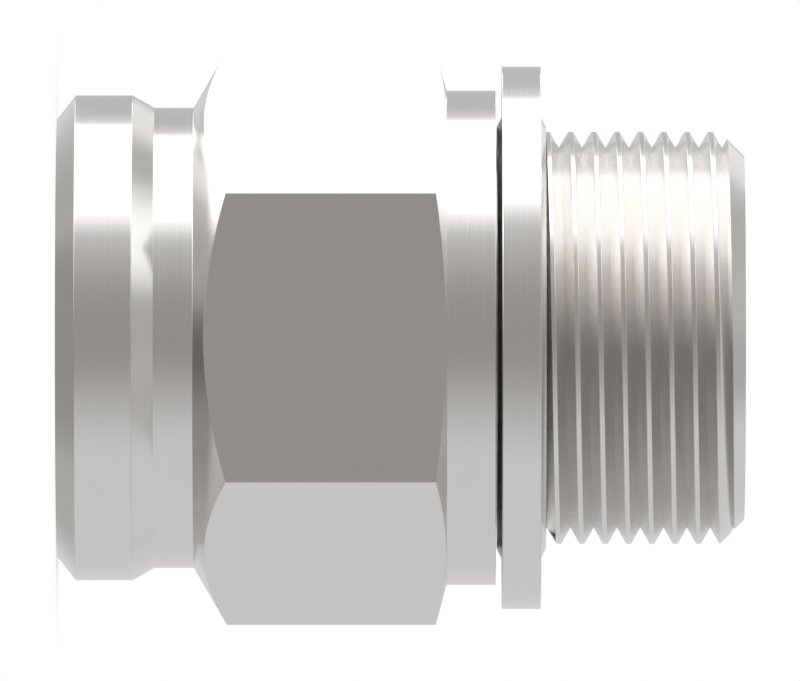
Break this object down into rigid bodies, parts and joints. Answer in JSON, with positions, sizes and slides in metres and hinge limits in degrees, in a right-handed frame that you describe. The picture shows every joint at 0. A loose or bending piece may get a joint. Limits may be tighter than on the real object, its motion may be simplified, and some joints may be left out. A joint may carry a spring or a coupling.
{
  "type": "straight pipe adapter",
  "caption": "Straight hydraulic pipe adapter: round plug-in socket with a neck, spanner hexagon, shoulder and threaded stud with a bonded sealing ring.",
  "frame": {"origin": "centre of the socket's end face, on which the adapter stands", "axes": "+Z along the adapter's axis, from the socket to the threaded stud; two corners of the hexagon point along +X and -X, and two of its flats face +Y and -Y"},
  "size_m": [0.037, 0.0348, 0.0442],
  "materials": {
    "plated_steel": "bright zinc-nickel plating over fine turning marks, satin",
    "ring_steel": "bright zinc plating on a stamped and faced ring, satin",
    "lip_elastomer": "light grey moulded elastomer with a slight sheen"
  },
  "bodies": {
    "root": {"adapter_body": "plated_steel", "seal_ring": "ring_steel", "seal_lip": "lip_elastomer"}
  },
  "joints": []
}
